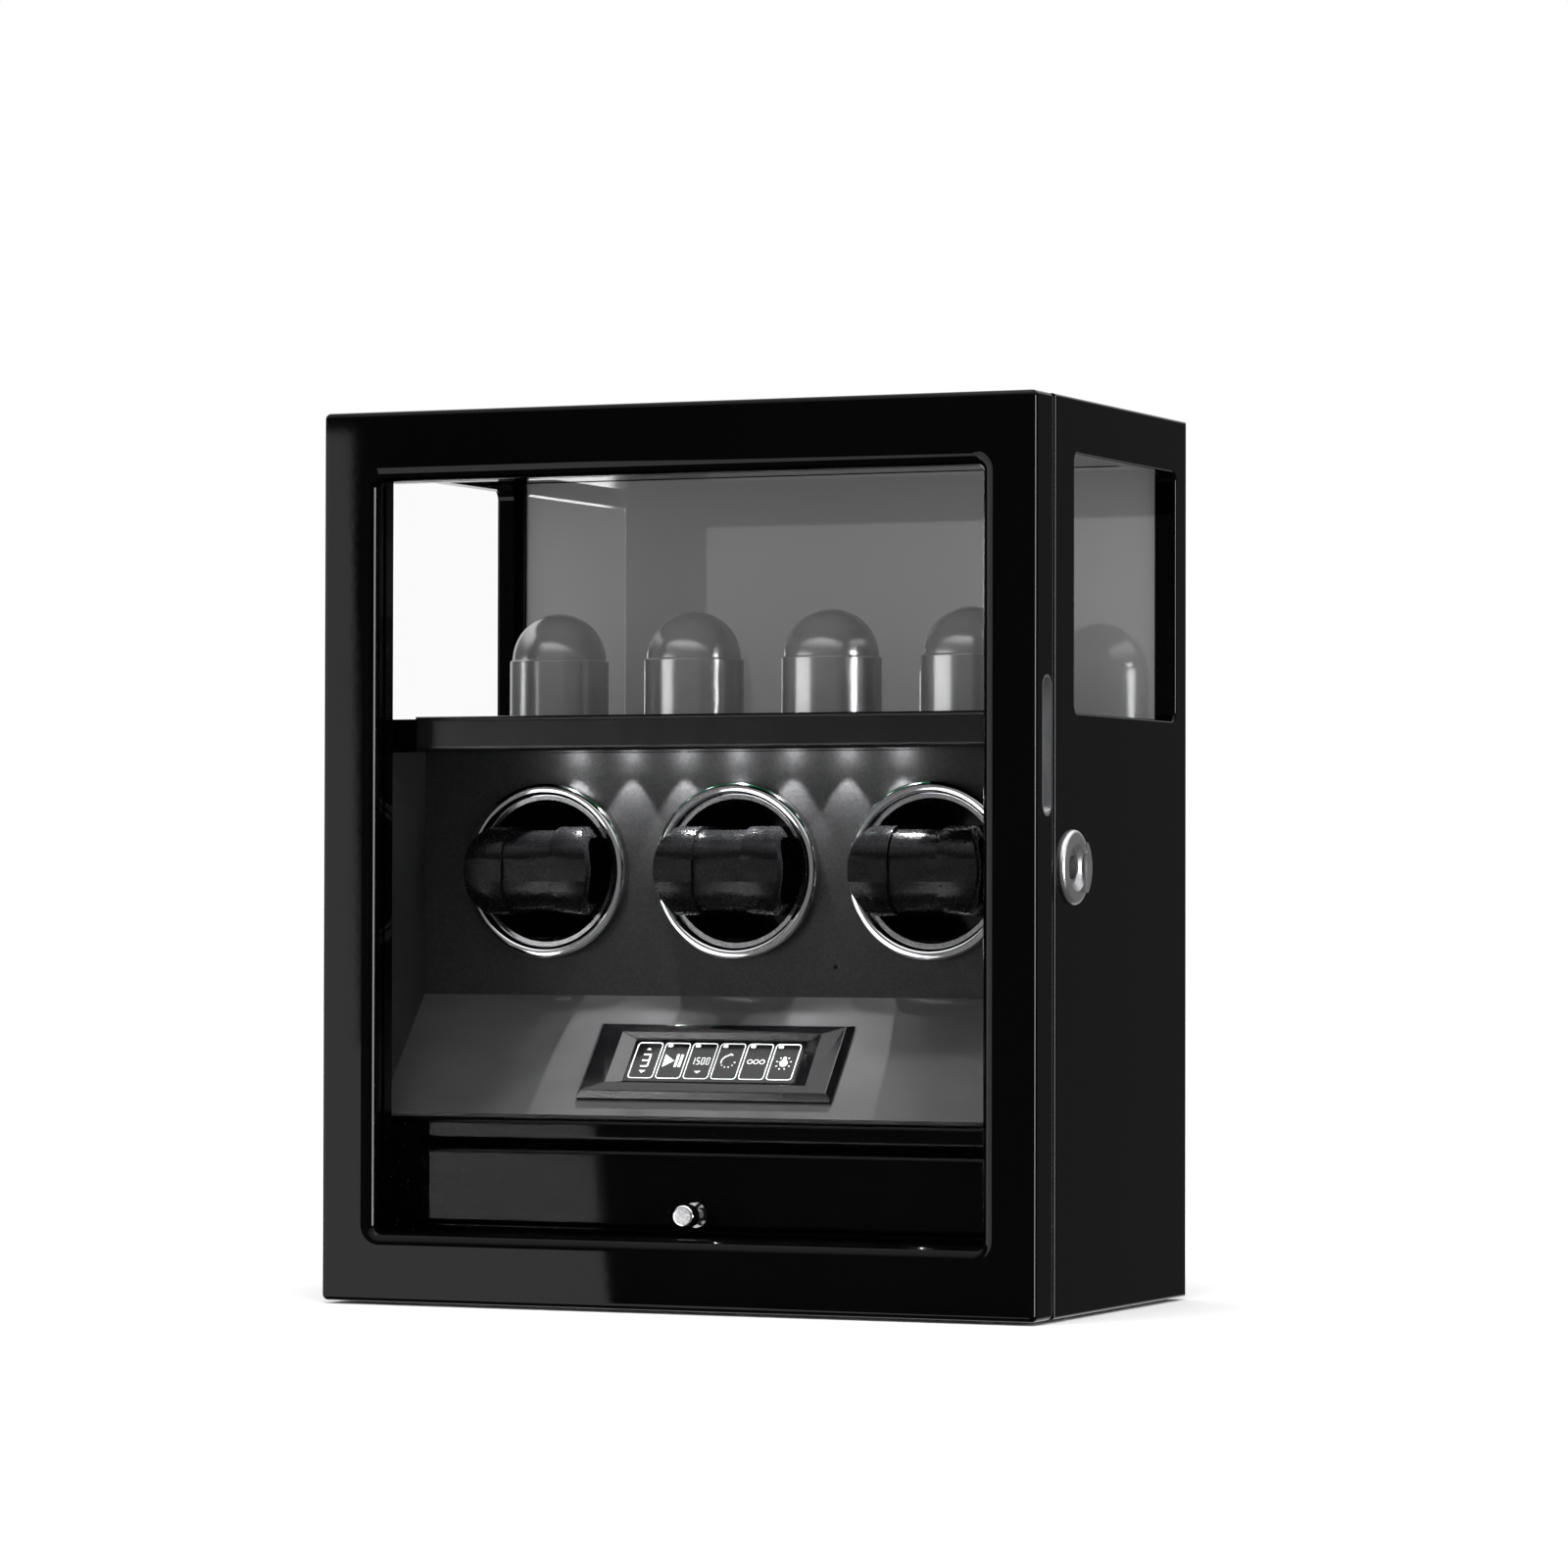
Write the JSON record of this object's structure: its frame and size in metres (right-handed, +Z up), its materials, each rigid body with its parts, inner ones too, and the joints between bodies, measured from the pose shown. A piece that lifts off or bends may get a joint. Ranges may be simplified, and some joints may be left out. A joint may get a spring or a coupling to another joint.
{
  "type": "watch winder box",
  "caption": "Upright black lacquer cabinet with a glazed door, mirrored display shelf on domed stands, motor-driven winding cups with cuffs, a sloping touch panel and a small drawer",
  "frame": {"origin": "on the table under the middle of the box", "axes": "+Z up, +X to the right as seen from the front, door faces -Y"},
  "size_m": [0.352, 0.191, 0.4015],
  "materials": {
    "black_lacquer": "piano-black gloss lacquer on board",
    "satin_black_board": "satin black lining",
    "clear_glass": "clear polished glass",
    "mirror_glass": "silvered mirror",
    "gloss_black_plastic": "gloss black moulding",
    "screen_glass": "black touch panel",
    "circuit_board": "solder-masked laminate",
    "lamp_lens": "white lamp lens",
    "chrome": "bright chrome plate",
    "satin_nickel": "satin nickel plate",
    "steel": "zinc-plated steel",
    "bearing_brass": "plain brass bearing",
    "gear_nylon": "natural nylon",
    "grey_gloss": "gloss dark grey lacquer",
    "foot_rubber": "soft black pad",
    "socket_black": "black inlet moulding",
    "tray_board": "flocked black board"
  },
  "bodies": {
    "cabinet": {"left_side_panel": "black_lacquer", "right_side_panel": "black_lacquer", "top_panel": "black_lacquer", "bottom_panel": "black_lacquer", "display_shelf": "black_lacquer", "shelf_trim": "black_lacquer", "drawer_deck": "black_lacquer", "deck_trim": "black_lacquer", "drawer_bearers": "black_lacquer", "winder_fascia": "satin_black_board", "side_cheeks": "satin_black_board", "back_panel": "satin_black_board", "side_window_glass": "clear_glass", "mirror_panel": "mirror_glass", "control_slope": "gloss_black_plastic", "display_frame": "gloss_black_plastic", "touch_screen": "screen_glass", "control_board": "circuit_board", "led_board": "circuit_board", "led_lamps": "lamp_lens", "bezel_ring_1": "chrome", "bezel_ring_2": "chrome", "bezel_ring_3": "chrome", "lock_housing": "satin_nickel", "hinge_leaves_cabinet": "satin_nickel", "hinge_pins": "satin_nickel", "drive_plate": "steel", "winder_motors": "steel", "back_panel_screws": "steel", "rotor_bushes": "bearing_brass", "watch_stand_1": "grey_gloss", "watch_stand_2": "grey_gloss", "watch_stand_3": "grey_gloss", "watch_stand_4": "grey_gloss", "feet": "foot_rubber", "power_jack": "socket_black"},
    "door": {"door_frame": "black_lacquer", "door_glass": "clear_glass", "glass_retainer": "black_lacquer", "finger_pull": "satin_nickel", "hinge_leaves_door": "satin_nickel", "door_strike": "satin_nickel"},
    "drawer": {"drawer_front": "black_lacquer", "drawer_tray": "tray_board", "drawer_knob": "chrome"},
    "lock_turner": {"lock_plug": "satin_nickel", "lock_cam": "satin_nickel"},
    "rotor_1": {"rotor_cup_1": "gloss_black_plastic", "rotor_gear_1": "gear_nylon"},
    "cuff_1": {"watch_cuff_1": "gloss_black_plastic"},
    "pinion_1": {"motor_pinion_1": "gear_nylon"},
    "rotor_2": {"rotor_cup_2": "gloss_black_plastic", "rotor_gear_2": "gear_nylon"},
    "cuff_2": {"watch_cuff_2": "gloss_black_plastic"},
    "pinion_2": {"motor_pinion_2": "gear_nylon"},
    "rotor_3": {"rotor_cup_3": "gloss_black_plastic", "rotor_gear_3": "gear_nylon"},
    "cuff_3": {"watch_cuff_3": "gloss_black_plastic"},
    "pinion_3": {"motor_pinion_3": "gear_nylon"}
  },
  "joints": [
    {"name": "door_swing", "type": "hinge", "parent": "cabinet", "child": "door", "pos_m": [-0.1725, -0.0726, 0.2], "axis": [0, 0, -1], "range_deg": [0, 120]},
    {"name": "drawer_slide", "type": "slide", "parent": "cabinet", "child": "drawer", "axis": [0, -1, 0], "range_m": [0, 0.0943]},
    {"name": "lock_turn", "type": "hinge", "parent": "cabinet", "child": "lock_turner", "pos_m": [0.17, -0.0512, 0.1965], "axis": [-1, 0, 0], "range_deg": [0, 90]},
    {"name": "rotor_spin_1", "type": "hinge", "parent": "cabinet", "child": "rotor_1", "pos_m": [-0.095, 0, 0.1952], "axis": [0, 1, 0], "continuous": true},
    {"name": "cuff_pull_1", "type": "slide", "parent": "rotor_1", "child": "cuff_1", "axis": [0, -1, 0], "range_m": [0, 0.02]},
    {"name": "pinion_spin_1", "type": "hinge", "parent": "cabinet", "child": "pinion_1", "pos_m": [-0.095, 0, 0.1632], "axis": [0, 1, 0], "continuous": true},
    {"name": "rotor_spin_2", "type": "hinge", "parent": "cabinet", "child": "rotor_2", "pos_m": [0, 0, 0.1952], "axis": [0, 1, 0], "continuous": true},
    {"name": "cuff_pull_2", "type": "slide", "parent": "rotor_2", "child": "cuff_2", "axis": [0, -1, 0], "range_m": [0, 0.02]},
    {"name": "pinion_spin_2", "type": "hinge", "parent": "cabinet", "child": "pinion_2", "pos_m": [0, 0, 0.1632], "axis": [0, 1, 0], "continuous": true},
    {"name": "rotor_spin_3", "type": "hinge", "parent": "cabinet", "child": "rotor_3", "pos_m": [0.095, 0, 0.1952], "axis": [0, 1, 0], "continuous": true},
    {"name": "cuff_pull_3", "type": "slide", "parent": "rotor_3", "child": "cuff_3", "axis": [0, -1, 0], "range_m": [0, 0.02]},
    {"name": "pinion_spin_3", "type": "hinge", "parent": "cabinet", "child": "pinion_3", "pos_m": [0.095, 0, 0.1632], "axis": [0, 1, 0], "continuous": true}
  ],
  "couplings": [
    {"joint": "drawer_slide", "follows": "door_swing", "m_per_rad": 0.045},
    {"joint": "pinion_spin_1", "follows": "rotor_spin_1", "ratio": -3},
    {"joint": "pinion_spin_2", "follows": "rotor_spin_2", "ratio": -3},
    {"joint": "pinion_spin_3", "follows": "rotor_spin_3", "ratio": -3}
  ]
}
